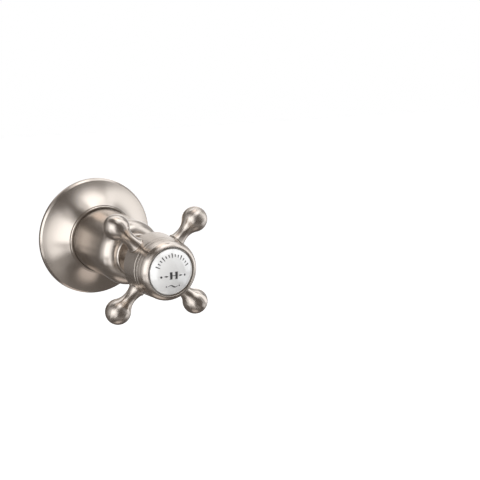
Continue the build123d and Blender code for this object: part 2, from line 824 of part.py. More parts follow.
# Glazed porcelain index, slightly domed, on a wider foot that the bezel's lip holds
with BuildPart() as index_disc:
    with BuildSketch(TURNED):
        with BuildLine():
            foot_line = Polyline(
                (0, index_rear_out),
                (index_foot_radius, index_rear_out),
                (index_foot_radius, bezel_lip_rear),
                (index_radius, bezel_lip_rear),
                (index_radius, index_edge_out - index_edge),
            )
            rounding = TangentArc(foot_line @ 1, (index_radius - index_edge, index_edge_out), tangent=(0, 1))
            crown = TangentArc((0, index_edge_out + index_crown), rounding @ 1, tangent=(1, 0))
            Line(crown @ 0, (0, index_rear_out))
        make_face()
    revolve(axis=Axis.Y)

# Soft pad between the screw's head and the index
with BuildPart() as index_cushion:
    revolve(band(0, cushion_radius, screw_head_front + cushion_clearance, index_rear_out), axis=Axis.Y)

pieces = {
    "valve_body": valve_body,
    "disc_seal": disc_seal,
    "fixed_disc": fixed_disc,
    "moving_disc": moving_disc,
    "spindle": spindle,
    "spindle_rings": spindle_rings,
    "glide_washer": glide_washer,
    "headwork": headwork,
    "headwork_ring": headwork_ring,
    "spindle_clip": spindle_clip,
    "stop_ring": stop_ring,
    "sleeve_carrier": sleeve_carrier,
    "lock_nut": lock_nut,
    "sleeve": sleeve,
    "stem_guide": stem_guide,
    "stem": stem,
    "grub_screw": grub_screw,
    "wall_flange": wall_flange,
    "flange_ring": flange_ring,
    "flange_gasket": flange_gasket,
    "handle": handle,
    "spline_bush": spline_bush,
    "screw_washer": screw_washer,
    "handle_screw": handle_screw,
    "index_bezel": index_bezel,
    "index_disc": index_disc,
    "index_cushion": index_cushion,
}

os.makedirs("parts", exist_ok=True)
for name, piece in pieces.items():
    piece.part.label = name
    export_step(piece.part, f"parts/{name}.step")
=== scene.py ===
# %% [markdown]
# A concealed stop valve sits in a bathroom wall. Only its bell-shaped flange, its sleeve and its cross
# handle show; the brass body with its two pipe ports hides behind the tiles. The CAD model already has
# every solid at its real size, so Blender's work is the finish: plated metal, glazed porcelain, turned
# and cast brass, the marks on the index, and the light of a small photo studio. The valve's axis is the
# Y axis, the wall is the plane y = 0, and the handle stands out towards -Y. Lengths are in metres.

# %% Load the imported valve
import json
from math import ceil, cos, hypot, pi, radians, sin, sqrt

import bmesh
import bpy
from mathutils import Matrix, Vector


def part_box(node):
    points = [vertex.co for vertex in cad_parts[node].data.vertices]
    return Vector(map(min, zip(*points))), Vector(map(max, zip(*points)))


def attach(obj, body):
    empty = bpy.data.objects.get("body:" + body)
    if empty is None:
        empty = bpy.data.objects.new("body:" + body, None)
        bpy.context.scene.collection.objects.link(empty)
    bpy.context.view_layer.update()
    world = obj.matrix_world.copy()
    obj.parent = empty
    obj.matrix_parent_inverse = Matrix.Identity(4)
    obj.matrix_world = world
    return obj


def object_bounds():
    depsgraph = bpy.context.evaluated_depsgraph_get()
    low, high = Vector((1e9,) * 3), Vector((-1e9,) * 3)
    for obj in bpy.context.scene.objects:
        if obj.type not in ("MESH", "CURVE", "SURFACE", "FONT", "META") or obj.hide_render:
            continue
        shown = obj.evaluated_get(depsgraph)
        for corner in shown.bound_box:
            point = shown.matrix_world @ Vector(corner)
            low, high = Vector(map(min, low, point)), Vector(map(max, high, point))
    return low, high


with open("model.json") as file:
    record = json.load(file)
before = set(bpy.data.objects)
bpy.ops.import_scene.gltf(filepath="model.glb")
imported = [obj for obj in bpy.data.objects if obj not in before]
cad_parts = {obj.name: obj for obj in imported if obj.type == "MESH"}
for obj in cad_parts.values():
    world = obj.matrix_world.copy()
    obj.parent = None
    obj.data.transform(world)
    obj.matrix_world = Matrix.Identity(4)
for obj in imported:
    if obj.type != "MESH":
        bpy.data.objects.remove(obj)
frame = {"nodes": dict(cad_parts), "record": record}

MM = 0.001


def in_mm(box):
    """A box's two corners in millimetres."""
    return [[round(value / MM, 2) for value in corner] for corner in box]


nodes = frame["nodes"]
cad_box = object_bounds()
print("CAD box in mm:", in_mm(cad_box))

# %% [markdown]
# The photograph looks at the valve from its front left and from a little above. A camera can be aimed
# with a constraint, but here its three axes are worked out from two angles and a small roll, because
# that says in plain numbers from where the valve is seen. A long lens from well back keeps the
# perspective as gentle as in a product photograph.

# %% Camera
VIEW_TURN = radians(29.197)
VIEW_DROP = radians(12.121)
VIEW_ROLL = radians(0.078)
CAMERA_PLACE = Vector((-0.246044, -0.609054, 0.137524))
LENS = 88.292
SENSOR = 36.0

forward = Vector((sin(VIEW_TURN) * cos(VIEW_DROP), cos(VIEW_TURN) * cos(VIEW_DROP), -sin(VIEW_DROP)))
level_right = forward.cross(Vector((0, 0, 1))).normalized()
level_up = level_right.cross(forward)
right = level_right * cos(VIEW_ROLL) + level_up * sin(VIEW_ROLL)
up = right.cross(forward)
camera = bpy.data.objects.new("camera", bpy.data.cameras.new("camera"))
camera.data.lens = LENS
camera.data.sensor_width = SENSOR
camera.matrix_world = Matrix((right, up, -forward)).transposed().to_4x4()
camera.location = CAMERA_PLACE
bpy.context.scene.collection.objects.link(camera)
bpy.context.scene.camera = camera
bpy.context.scene.view_settings.view_transform = "Standard"
print("camera is", round(CAMERA_PLACE.length, 3), "m from the valve's origin")

# %% [markdown]
# Shader graphs are easier to read when the small sums in them are short calls. These helpers add one
# node each and return its output, and they take a plain number or another node's output alike. Graphs
# can also be drawn by hand in the Shader Editor, but only a script can be read from top to bottom.

# %% Helpers for node graphs
def feed(tree, socket, value):
    """Puts a number, a colour or another node's output into a socket."""
    if isinstance(value, bpy.types.NodeSocket):
        tree.links.new(value, socket)
    else:
        socket.default_value = value


def maths(tree, operation, *values):
    """One Math node."""
    node = tree.nodes.new("ShaderNodeMath")
    node.operation = operation
    for socket, value in zip(node.inputs, values):
        feed(tree, socket, value)
    return node.outputs[0]


def parts_of(tree, vector):
    """The x, y and z of a vector."""
    node = tree.nodes.new("ShaderNodeSeparateXYZ")
    tree.links.new(vector, node.inputs[0])
    return node.outputs


def joined(tree, *parts):
    """A vector from its x, y and z."""
    node = tree.nodes.new("ShaderNodeCombineXYZ")
    for socket, part in zip(node.inputs, parts):
        feed(tree, socket, part)
    return node.outputs[0]


def eased(tree, value, low, high, to_low=0.0, to_high=1.0):
    """A smooth step from to_low to to_high as the value goes from low to high."""
    node = tree.nodes.new("ShaderNodeMapRange")
    node.interpolation_type = "SMOOTHSTEP"
    for name, number in (("From Min", low), ("From Max", high), ("To Min", to_low), ("To Max", to_high)):
        node.inputs[name].default_value = number
    feed(tree, node.inputs["Value"], value)
    return node.outputs["Result"]


def blended(tree, blend, share, first, second):
    """One Mix Color node."""
    node = tree.nodes.new("ShaderNodeMix")
    node.data_type = "RGBA"
    node.blend_type = blend
    for name, value in (("Factor", share), ("A", first), ("B", second)):
        feed(tree, node.inputs[name], value)
    return node.outputs["Result"]


def tinted(tree, share, plain, other):
    """A colour between two others."""
    return blended(tree, "MIX", share, (*plain, 1.0), (*other, 1.0))


graph_helpers = (feed, maths, parts_of, joined, eased, blended, tinted)
print("graph helpers:", [helper.__name__ for helper in graph_helpers])

# %% [markdown]
# Plated metal has hardly any light and shade of its own: it shows the room. A photographer hangs large
# cloth-covered boxes round it and black cards between them, and the bright and dark bands of the picture
# are those boxes and cards. The room could be built from glowing planes, but a painted sky does the same
# with no noise and nothing to hide, so the world holds the studio as soft patches placed by compass
# angle and height. Azimuth 0 is the viewer's side, +90 the right, -90 the left, 180 the wall. A real box
# fades towards its ends, so each large one has weaker patches beside it.

# %% Boxes and cards of the studio
COOL = (1.0, 1.03, 1.065)
PALE = (1.0, 1.02, 1.045)
NEUTRAL = (1.0, 1.0, 1.0)
# Each box: azimuth and elevation of its middle, half width, half height, lean, soft edge, light, tint
SOFT_BOXES = {
    "white backdrop": (155, 2, 18, 27, 0.0, 4, 0.86, NEUTRAL),
    "left box": (-66, 8, 20, 22, 0.0, 5, 1.82, PALE),
    "left box, back end": (-95, 8, 9, 24, 0.0, 5, 0.74, PALE),
    "left box, soft back end": (-113, 5, 8, 26, 0.0, 6, 0.42, PALE),
    "left box, front end": (-38, 4, 8, 22, 0.0, 5, 1.24, PALE),
    "left box, low front": (-46, -25, 13, 7, 0.0, 4, 1.39, PALE),
    "left box, low back": (-80, -25, 16, 7, 0.0, 4, 1.08, PALE),
    "left box, high front": (-45, 35, 14, 5, 0.0, 4, 0.81, PALE),
    "left box, high back": (-85, 38, 20, 6, 0.0, 4, 0.28, PALE),
    "card under the left box": (-45, -42, 20, 10, 0.0, 6, 0.25, NEUTRAL),
    "left wing": (-132, 5, 14, 28, 0.0, 6, 0.13, NEUTRAL),
    "right box": (78, 14, 18, 30, -0.5, 5, 1.34, COOL),
    "right box, soft front end": (50, 5, 10, 30, -0.5, 6, 0.40, COOL),
    "right wing": (125, 15, 28, 38, 0.0, 8, 0.33, COOL),
    "right box, low end": (75, -28, 25, 9, 0.0, 5, 0.76, COOL),
    "right wing, low end": (115, -32, 15, 9, 0.0, 5, 0.24, COOL),
    "ceiling box": (25, 64, 33, 13, 0.0, 5, 1.98, PALE),
    "ceiling box, left end": (-22, 62, 10, 12, 0.0, 4, 0.98, PALE),
    "ceiling box, soft edge": (20, 47, 38, 5, 0.0, 4, 0.45, PALE),
    "ceiling box, right end": (80, 55, 24, 12, 0.0, 6, 1.23, COOL),
    "ceiling box, back end": (160, 62, 60, 12, 0.0, 8, 1.36, COOL),
    "strip over the backdrop": (180, 37, 40, 8, 0.0, 5, 0.62, NEUTRAL),
    "table in front": (0, -45, 35, 10, 0.0, 5, 0.19, NEUTRAL),
}
print("soft boxes in the studio:", len(SOFT_BOXES))

# %% [markdown]
# One patch is a window in the two angles: 1 inside, 0 outside, with a smooth step at its edge. The room
# between the boxes isn't black, because pale walls send a little warm light back. Straight above hangs one
# more bright cloth, and straight below lies a pale floor.

# %% Light of the studio
ROOM_WARMTH = (1.07, 0.98, 0.92)
DARK_ROOM = 0.142
TOP_LIGHT = 1.56
TOP_EDGE = (72, 80)
FLOOR_LIGHT = 0.60
FLOOR_EDGE = (-70, -78)
HALF_TURN = 180.0


def soft_box(tree, azimuth, elevation, middle, half_size, lean, edge):
    """1 inside a soft-edged patch of the sky and 0 outside it; all angles in degrees."""
    rise = maths(tree, "SUBTRACT", elevation, middle[1])
    aside = maths(tree, "SUBTRACT", azimuth, maths(tree, "MULTIPLY_ADD", rise, lean, middle[0]))
    aside = maths(tree, "ABSOLUTE", maths(tree, "WRAP", aside, HALF_TURN, -HALF_TURN))
    within = eased(tree, aside, half_size[0] + edge, half_size[0] - edge)
    level = eased(tree, maths(tree, "ABSOLUTE", rise), half_size[1] + edge, half_size[1] - edge)
    return maths(tree, "MULTIPLY", within, level)


def studio_light(tree):
    """The colour of the studio in each direction, as metal and glaze see it."""
    x, y, z = parts_of(tree, tree.nodes.new("ShaderNodeTexCoord").outputs["Generated"])
    azimuth = maths(tree, "DEGREES", maths(tree, "ARCTAN2", x, maths(tree, "MULTIPLY", y, -1.0)))
    elevation = maths(tree, "DEGREES", maths(tree, "ARCSINE", z))
    glow = maths(tree, "ADD", DARK_ROOM, eased(tree, elevation, *TOP_EDGE, 0.0, TOP_LIGHT))
    glow = maths(tree, "ADD", glow, eased(tree, elevation, *FLOOR_EDGE, 0.0, FLOOR_LIGHT))
    colour = blended(tree, "MULTIPLY", 1.0, (*ROOM_WARMTH, 1.0), glow)
    for across, high, half_width, half_height, lean, edge, light, tint in SOFT_BOXES.values():
        patch = soft_box(tree, azimuth, elevation, (across, high), (half_width, half_height), lean, edge)
        colour = blended(tree, "ADD", patch, colour, (*(light * part for part in tint), 1.0))
    return colour


print("light between the boxes:", DARK_ROOM)

# %% [markdown]
# The world gives three answers. The camera sees plain white, as in a catalogue picture. Mirror rays see
# the studio, and its backdrop, nearly as white, stands where the camera sees white behind the valve.
# Everything else gets even light. It is well below full, because the lamps add theirs, so that white
# porcelain and black rubber come out as they are written.

# %% World
SOFT_LIGHT = 0.35
WHITE = (1, 1, 1, 1)
world = bpy.data.worlds.new("studio")
bpy.context.scene.world = world
world.use_nodes = True
sky = world.node_tree
sky.nodes.clear()
ray = sky.nodes.new("ShaderNodeLightPath")


def background(colour, strength=1.0):
    """One Background node of the world."""
    node = sky.nodes.new("ShaderNodeBackground")
    feed(sky, node.inputs["Color"], colour)
    node.inputs["Strength"].default_value = strength
    return node.outputs[0]


def either(share, first, second):
    """One Mix Shader node of the world."""
    node = sky.nodes.new("ShaderNodeMixShader")
    for socket, value in zip(node.inputs, (share, first, second)):
        sky.links.new(value, socket)
    return node.outputs[0]


mirror_ray = maths(sky, "MAXIMUM", ray.outputs["Is Glossy Ray"], ray.outputs["Is Transmission Ray"])
lit = either(mirror_ray, background(WHITE, SOFT_LIGHT), background(studio_light(sky)))
seen = either(ray.outputs["Is Camera Ray"], lit, background(WHITE))
sky.links.new(seen, sky.nodes.new("ShaderNodeOutputWorld").inputs["Surface"])
world.cycles.sampling_method = "NONE"
print("nodes in the world:", len(sky.nodes))

# %% [markdown]
# Even light alone leaves porcelain flat. Three large area lamps stand where the soft boxes are and give
# it a light side and a shaded side. Metal doesn't see the lamps themselves, because the painted studio
# already holds their reflections.

# %% Lamps
# Each lamp: azimuth, elevation, distance in metres, size in metres, power in watts
LAMPS = {
    "left lamp": (-70, 18, 0.75, 0.5, 4.2),
    "top lamp": (-20, 66, 0.7, 0.5, 2.6),
    "right lamp": (75, 20, 0.8, 0.4, 2.2),
}
aim = (cad_box[0] + cad_box[1]) / 2


def outwards(azimuth, elevation):
    """The direction of a compass angle and a height, in degrees; azimuth 0 is -Y."""
    turn, rise = radians(azimuth), radians(elevation)
    return Vector((sin(turn) * cos(rise), -cos(turn) * cos(rise), sin(rise)))


for name, (azimuth, elevation, distance, size, power) in LAMPS.items():
    lamp = bpy.data.objects.new(name, bpy.data.lights.new(name, "AREA"))
    lamp.data.shape = "SQUARE"
    lamp.data.size = size
    lamp.data.energy = power
    lamp.location = aim + outwards(azimuth, elevation) * distance
    lamp.rotation_mode = "QUATERNION"
    lamp.rotation_quaternion = outwards(azimuth, elevation).to_track_quat("Z", "Y")
    lamp.visible_glossy = False
    bpy.context.scene.collection.objects.link(lamp)
    print(name, power, "W")

# %% [markdown]
# The valve is fixed to a wall, so nothing stands under it. The pale floor lies well below, which keeps
# its shadow as faint as in the photograph. Its shader glows a little for the camera alone, so that it
# meets the white background without a line, and it still takes a shadow.

# %% Floor
FLOOR_DROP = 0.30
FLOOR_REACH = 3.0
FLOOR_WHITE = 0.7
CLOTH_COLOUR = (0.9, 0.9, 0.9, 1)
CLOTH_ROUGHNESS = 0.9
floor_height = cad_box[0].z - FLOOR_DROP
square = ((-1, -1), (1, -1), (1, 1), (-1, 1))
corners = [(x * FLOOR_REACH, y * FLOOR_REACH, floor_height) for x, y in square]
floor_mesh = bpy.data.meshes.new("floor")
floor_mesh.from_pydata(corners, [], [(0, 1, 2, 3)])
floor = bpy.data.objects.new("floor", floor_mesh)
bpy.context.scene.collection.objects.link(floor)
floor.visible_glossy = False
floor_paint = bpy.data.materials.new("pale floor")
floor_paint.use_nodes = True
paint = floor_paint.node_tree
cloth = paint.nodes["Principled BSDF"]
cloth.inputs["Base Color"].default_value = CLOTH_COLOUR
cloth.inputs["Roughness"].default_value = CLOTH_ROUGHNESS
cloth.inputs["Emission Color"].default_value = WHITE
camera_ray = paint.nodes.new("ShaderNodeLightPath").outputs["Is Camera Ray"]
feed(paint, cloth.inputs["Emission Strength"], maths(paint, "MULTIPLY", camera_ray, FLOOR_WHITE))
floor_mesh.materials.append(floor_paint)
print("floor lies", round((cad_box[0].z - floor_height) / MM), "mm below the flange")

# %% [markdown]
# Every finish on the valve is a Principled shader with patterns worked out from the place on the surface.
# Pictures wrapped round the piece would need unwrapping and would blur close up, but noise stays fine at
# any distance. These helpers start a finish, make noise and raise it into a bump.

# %% Helpers for finishes
def new_finish(name, **sockets):
    """A material whose Principled shader has the given plain values."""
    material = bpy.data.materials.new(name)
    material.use_nodes = True
    shader = material.node_tree.nodes["Principled BSDF"]
    for socket, value in sockets.items():
        shader.inputs[socket.replace("_", " ")].default_value = value
    return material, material.node_tree, shader


def object_place(tree):
    """The surface point in the valve's own frame."""
    return tree.nodes.new("ShaderNodeTexCoord").outputs["Object"]


def noise(tree, vector, scale, detail, roughness=0.5):
    """One Noise Texture node; scale is in features a metre."""
    node = tree.nodes.new("ShaderNodeTexNoise")
    feed(tree, node.inputs["Vector"], vector)
    node.inputs["Scale"].default_value = scale
    node.inputs["Detail"].default_value = detail
    node.inputs["Roughness"].default_value = roughness
    return node.outputs["Fac"]


def add_bump(tree, shader, height, depth, strength, normal=None):
    """Raises the surface by the height pattern."""
    bump = tree.nodes.new("ShaderNodeBump")
    if normal:
        tree.links.new(normal, bump.inputs["Normal"])
    bump.inputs["Strength"].default_value = strength
    bump.inputs["Distance"].default_value = depth
    feed(tree, bump.inputs["Height"], height)
    tree.links.new(bump.outputs["Normal"], shader.inputs["Normal"])


def from_axis(tree, x, z):
    """The distance from the valve's axis."""
    squares = [maths(tree, "MULTIPLY", part, part) for part in (x, z)]
    return maths(tree, "SQRT", maths(tree, "ADD", *squares))


def lathe_place(tree, drag):
    """The surface point as radius, length and a little angle, for marks that run round the axis."""
    x, y, z = parts_of(tree, object_place(tree))
    turn = maths(tree, "MULTIPLY", maths(tree, "ARCTAN2", z, x), drag)
    return joined(tree, from_axis(tree, x, z), y, turn)


finish_helpers = (new_finish, object_place, noise, add_bump, from_axis, lathe_place)
print("finish helpers:", [helper.__name__ for helper in finish_helpers])

# %% [markdown]
# Brushed and polished metal stretches a reflection across its fine scratches. On the real valve the turned
# pieces are brushed in the lathe, so their scratches run round the valve's axis; the handle is held to a
# wheel arm by arm, so they run round each arm, and every box in the room becomes a long streak from ball
# to hub. Blender's Tangent node can lay rings round the object's own axes, but the arms stand between
# them, so the direction is worked out here: it is at right angles to an arm's axis and to the line from
# the middle of the cross to the point.

# %% Direction of the polish
HUB_REACH = 16.3 * MM
BALL_REACH = 30 * MM
ball_depths = [
    vertex.co.y for vertex in nodes["handle"].data.vertices if hypot(vertex.co.x, vertex.co.z) > BALL_REACH
]
CROSS_OUT = -(min(ball_depths) + max(ball_depths)) / 2
LATHE_AXIS = (0.0, 1.0, 0.0)


def vector_maths(tree, operation, *vectors):
    """One Vector Math node."""
    node = tree.nodes.new("ShaderNodeVectorMath")
    node.operation = operation
    for socket, value in zip(node.inputs, vectors):
        feed(tree, socket, value)
    return node.outputs[0]


def turned_about(tree, shader, axis):
    """Lays the polishing marks in rings round an axis through the middle of the cross."""
    reach = vector_maths(tree, "SUBTRACT", object_place(tree), (0.0, -CROSS_OUT, 0.0))
    along_marks = tree.nodes.new("ShaderNodeVectorTransform")
    along_marks.vector_type = "VECTOR"
    along_marks.convert_from = "OBJECT"
    along_marks.convert_to = "WORLD"
    tree.links.new(vector_maths(tree, "CROSS_PRODUCT", axis, reach), along_marks.inputs[0])
    tree.links.new(along_marks.outputs[0], shader.inputs["Tangent"])


def arm_axis(tree):
    """The axis of the nearest arm out on the cross, and the valve's axis on its hub."""
    x, y, z = parts_of(tree, object_place(tree))
    on_arm = maths(tree, "GREATER_THAN", from_axis(tree, x, z), HUB_REACH)
    along_x = maths(tree, "MULTIPLY", maths(tree, "SIGN", x), on_arm)
    along_z = maths(tree, "MULTIPLY", maths(tree, "SIGN", z), on_arm)
    return joined(tree, along_x, maths(tree, "SUBTRACT", 1.0, on_arm), along_z)


print("the arms stand", round(CROSS_OUT / MM, 2), "mm out from the wall")

# %% [markdown]
# A groove as fine as a hair divides the sleeve's tube from its shoulder. In the photograph it hardly shows,
# as if plate and polish had rounded its edges away. The solid keeps its sharp groove, and the shading
# smooths it: near the groove the normal is turned almost level with the tube, and where the shoulder
# slopes back towards the wall it is turned quite level.

# %% Rubbed groove
GROOVE_PLACE = -45.425 * MM
GROOVE_EDGE = (0.25 * MM, 0.35 * MM)
GROOVE_LEFT = 0.2


def rubbed_flush(tree):
    """The surface's normal, with the fine groove and the slope behind the shoulder rubbed nearly level."""
    normal = tree.nodes.new("ShaderNodeNewGeometry").outputs["Normal"]
    level = vector_maths(tree, "MINIMUM", normal, (1.0, 0.0, 1.0))
    y = parts_of(tree, object_place(tree))[1]
    from_groove = maths(tree, "ABSOLUTE", maths(tree, "SUBTRACT", y, GROOVE_PLACE))
    keep = joined(tree, 1.0, eased(tree, from_groove, *GROOVE_EDGE, GROOVE_LEFT, 1.0), 1.0)
    return vector_maths(tree, "NORMALIZE", vector_maths(tree, "MULTIPLY", level, keep))


print("the groove lies", round(-GROOVE_PLACE / MM, 2), "mm out from the wall")

# %% [markdown]
# Satin nickel is a plate a few thousandths of a millimetre thick over brass, and a little warmer than
# steel. Its roughness could be one number, but real plate is never that even: hair-fine rings from the
# lathe show in it, and slow clouds where the wheel pressed harder. Three noises do that, the rings by
# radius and length, so that they need no unwrapping on any turned piece.

# %% Satin nickel
NICKEL_WARM = (0.59, 0.525, 0.465)
NICKEL_PALE = (0.64, 0.58, 0.525)
RING_SCALE = 5200.0
RING_DRAG = 0.0004
RING_SPREAD = 0.10
CLOUD_SCALE = 60.0
CLOUD_SPREAD = 0.06
HAIR_SCALE = 2600.0
HAIR_SHARE = 0.5
PLATE_RELIEF = 0.002 * MM
PLATE_BUMP = 0.2
QUARTER_TURN = 0.25
NOISE_MIDDLE = 0.5


def wavering(tree, pattern, spread, middle):
    """A value that wavers about its middle as a noise does about its own."""
    centred = maths(tree, "SUBTRACT", pattern, NOISE_MIDDLE)
    return maths(tree, "MULTIPLY_ADD", centred, spread, middle)


def satin_nickel(name, gloss, brushing, stretch, arms=False, flush=False):
    """Satin nickel plate: gloss is the middle roughness, brushing how strongly the lathe's rings show."""
    material, tree, shader = new_finish(
        name, Metallic=1.0, Anisotropic=stretch, Anisotropic_Rotation=QUARTER_TURN
    )
    turned_about(tree, shader, arm_axis(tree) if arms else LATHE_AXIS)
    rings = noise(tree, lathe_place(tree, RING_DRAG), RING_SCALE, detail=3.0)
    cloudy = noise(tree, object_place(tree), CLOUD_SCALE, detail=3.0)
    hairs = noise(tree, object_place(tree), HAIR_SCALE, detail=2.0)
    feed(tree, shader.inputs["Base Color"], tinted(tree, cloudy, NICKEL_WARM, NICKEL_PALE))
    ringed = wavering(tree, rings, RING_SPREAD * brushing, gloss)
    feed(tree, shader.inputs["Roughness"], wavering(tree, cloudy, CLOUD_SPREAD, ringed))
    marks = maths(tree, "ADD", rings, maths(tree, "MULTIPLY", hairs, HAIR_SHARE))
    normal = rubbed_flush(tree) if flush else None
    add_bump(tree, shader, marks, PLATE_RELIEF * brushing, PLATE_BUMP, normal)
    return material


turned_nickel = satin_nickel("turned satin nickel", gloss=0.24, brushing=0.5, stretch=0.45)
sleeve_nickel = satin_nickel("sleeve satin nickel", gloss=0.24, brushing=0.5, stretch=0.45, flush=True)
bezel_nickel = satin_nickel("spun satin nickel", gloss=0.24, brushing=0.4, stretch=0.6)
wheel_polished = satin_nickel("wheel-polished nickel", gloss=0.22, brushing=0.04, stretch=0.97, arms=True)
print("nickel finishes:", turned_nickel.name, sleeve_nickel.name, bezel_nickel.name, wheel_polished.name)

# %% [markdown]
# The body behind the wall is cast brass: sand leaves it grainy and dull, and only the hexagons and the
# threaded neck are machined bright. Two materials would need the mesh cut between them. One shader does
# both, with a mask worked out from the place: past the hexagons' shoulders and in front of the belly the
# grain fades away.

# %% Cast brass
BRASS_DARK = (0.50, 0.36, 0.16)
BRASS_BRIGHT = (0.76, 0.60, 0.30)
HEXAGON_LENGTH = 9.0 * MM
NECK_START = 8.0 * MM
# How far the grain fades before and after the edge of a machined face
CUT_BEFORE = 0.2 * MM
CUT_AFTER = 0.1 * MM
SAND_SCALE = 1900.0
SAND_DEPTH = 0.12 * MM
SAND_BUMP = 0.8
STAIN_SCALE = 130.0
STAIN_SHARE = 0.45
MACHINED_SHARE = 0.55
CAST_ROUGHNESS = 0.52
MACHINED_SHINE = -0.24
MACHINED_SMOOTH = 0.9
hexagon_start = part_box("valve_body")[1].z - HEXAGON_LENGTH


def cast_brass():
    """Sand-cast brass with machined ends."""
    material, tree, shader = new_finish("cast brass", Metallic=1.0)
    place = object_place(tree)
    y, z = parts_of(tree, place)[1:]
    ends = eased(tree, maths(tree, "ABSOLUTE", z), hexagon_start - CUT_BEFORE, hexagon_start + CUT_AFTER)
    neck = eased(tree, y, NECK_START + CUT_BEFORE, NECK_START - CUT_AFTER)
    machined = maths(tree, "MAXIMUM", ends, neck)
    sand = noise(tree, place, SAND_SCALE, detail=4.0, roughness=0.6)
    stain = maths(tree, "MULTIPLY", noise(tree, place, STAIN_SCALE, detail=4.0), STAIN_SHARE)
    worn = maths(tree, "MULTIPLY_ADD", machined, MACHINED_SHARE, stain)
    feed(tree, shader.inputs["Base Color"], tinted(tree, worn, BRASS_DARK, BRASS_BRIGHT))
    shine = maths(tree, "MULTIPLY_ADD", machined, MACHINED_SHINE, CAST_ROUGHNESS)
    feed(tree, shader.inputs["Roughness"], shine)
    left_rough = maths(tree, "SUBTRACT", 1.0, maths(tree, "MULTIPLY", machined, MACHINED_SMOOTH))
    add_bump(tree, shader, maths(tree, "MULTIPLY", sand, left_rough), SAND_DEPTH, SAND_BUMP)
    return material


body_brass = cast_brass()
print("machined ends start", round(hexagon_start / MM, 1), "mm from the port axis")

# %% [markdown]
# The headwork, its nut and the other inner brass pieces come straight from the lathe. The tool leaves fine
# feed rings, and the same noise by radius and length that brushes the nickel draws them, only coarser.

# %% Turned brass
FEED_SCALE = 2400.0
FEED_DRAG = 0.0003
FEED_DEPTH = 0.01 * MM
FEED_BUMP = 0.5
FEED_SPREAD = 0.2
TURNED_ROUGHNESS = 0.2
TARNISH_SCALE = 150.0


def turned_brass():
    """Brass as it leaves the lathe, with fine feed rings."""
    material, tree, shader = new_finish("turned brass", Metallic=1.0)
    rings = noise(tree, lathe_place(tree, FEED_DRAG), FEED_SCALE, detail=2.0)
    tarnish = noise(tree, object_place(tree), TARNISH_SCALE, detail=3.0)
    feed(tree, shader.inputs["Base Color"], tinted(tree, tarnish, BRASS_DARK, BRASS_BRIGHT))
    gloss = maths(tree, "MULTIPLY_ADD", rings, FEED_SPREAD, TURNED_ROUGHNESS)
    feed(tree, shader.inputs["Roughness"], gloss)
    add_bump(tree, shader, rings, FEED_DEPTH, FEED_BUMP)
    return material


lathe_brass = turned_brass()
print("feed rings a millimetre:", FEED_SCALE * MM)

# %% [markdown]
# The index is white porcelain: a white body under a clear glaze that is as smooth as glass. The shader
# keeps them apart as a plain white base and a coat. Glaze flows in the kiln, so it is never quite flat
# and lies thinner at the rim. A slow ripple and a little extra swell in the coat's own normal bend the
# soft boxes' reflections, and the body under it keeps its shape.

# %% Porcelain
PORCELAIN_WHITE = (0.90, 0.895, 0.885)
PORCELAIN_SHADE = (0.86, 0.85, 0.835)
# How much the glaze's normal leans outwards for each metre from the axis
GLAZE_SWELL = 20.0
GLAZE_RIPPLE = 0.02 * MM
RIPPLE_SCALE = 260.0
RIPPLE_BUMP = 0.12
SHADE_SCALE = 220.0


def glazed_porcelain():
    """White body under clear glaze."""
    material, tree, shader = new_finish(
        "glazed porcelain", Roughness=0.25, IOR=1.5, Coat_Weight=1.0, Coat_Roughness=0.03, Coat_IOR=2.3
    )
    clouds = noise(tree, object_place(tree), SHADE_SCALE, detail=3.0)
    feed(tree, shader.inputs["Base Color"], tinted(tree, clouds, PORCELAIN_WHITE, PORCELAIN_SHADE))
    ripple = tree.nodes.new("ShaderNodeBump")
    ripple.inputs["Strength"].default_value = RIPPLE_BUMP
    ripple.inputs["Distance"].default_value = GLAZE_RIPPLE
    feed(tree, ripple.inputs["Height"], noise(tree, object_place(tree), RIPPLE_SCALE, detail=1.0))
    surface = tree.nodes.new("ShaderNodeNewGeometry")
    swell = vector_maths(tree, "MULTIPLY", surface.outputs["Position"], (GLAZE_SWELL, 0.0, GLAZE_SWELL))
    domed = vector_maths(tree, "NORMALIZE", vector_maths(tree, "ADD", swell, surface.outputs["Normal"]))
    tree.links.new(domed, ripple.inputs["Normal"])
    tree.links.new(ripple.outputs["Normal"], shader.inputs["Coat Normal"])
    return material


porcelain = glazed_porcelain()
print("made", porcelain.name)

# %% [markdown]
# The marks on the index are dark enamel, fired on before the last glaze. They are never quite black, and
# a fine noise between two near blacks keeps them from looking like holes.

# %% Enamel
ENAMEL_BLACK = (0.035, 0.034, 0.036)
ENAMEL_GREY = (0.075, 0.073, 0.075)
PRINT_GRAIN = 5000.0


def fired_enamel():
    """Dark printed enamel, fired under the same glaze."""
    material, tree, shader = new_finish(
        "fired enamel", Roughness=0.3, Coat_Weight=1.0, Coat_Roughness=0.04, Coat_IOR=1.55
    )
    worn = noise(tree, object_place(tree), PRINT_GRAIN, detail=2.0)
    feed(tree, shader.inputs["Base Color"], tinted(tree, worn, ENAMEL_BLACK, ENAMEL_GREY))
    return material


enamel = fired_enamel()
print("made", enamel.name)

# %% [markdown]
# Rubber, nylon and ground ceramic show only where the valve is seen from behind or taken apart, but each
# has its own surface. Rubber is matt with a faint bloom, nylon a little waxy, and ground alumina dense
# and slightly grainy. They differ only in colour, gloss and grain, so one function makes them all.

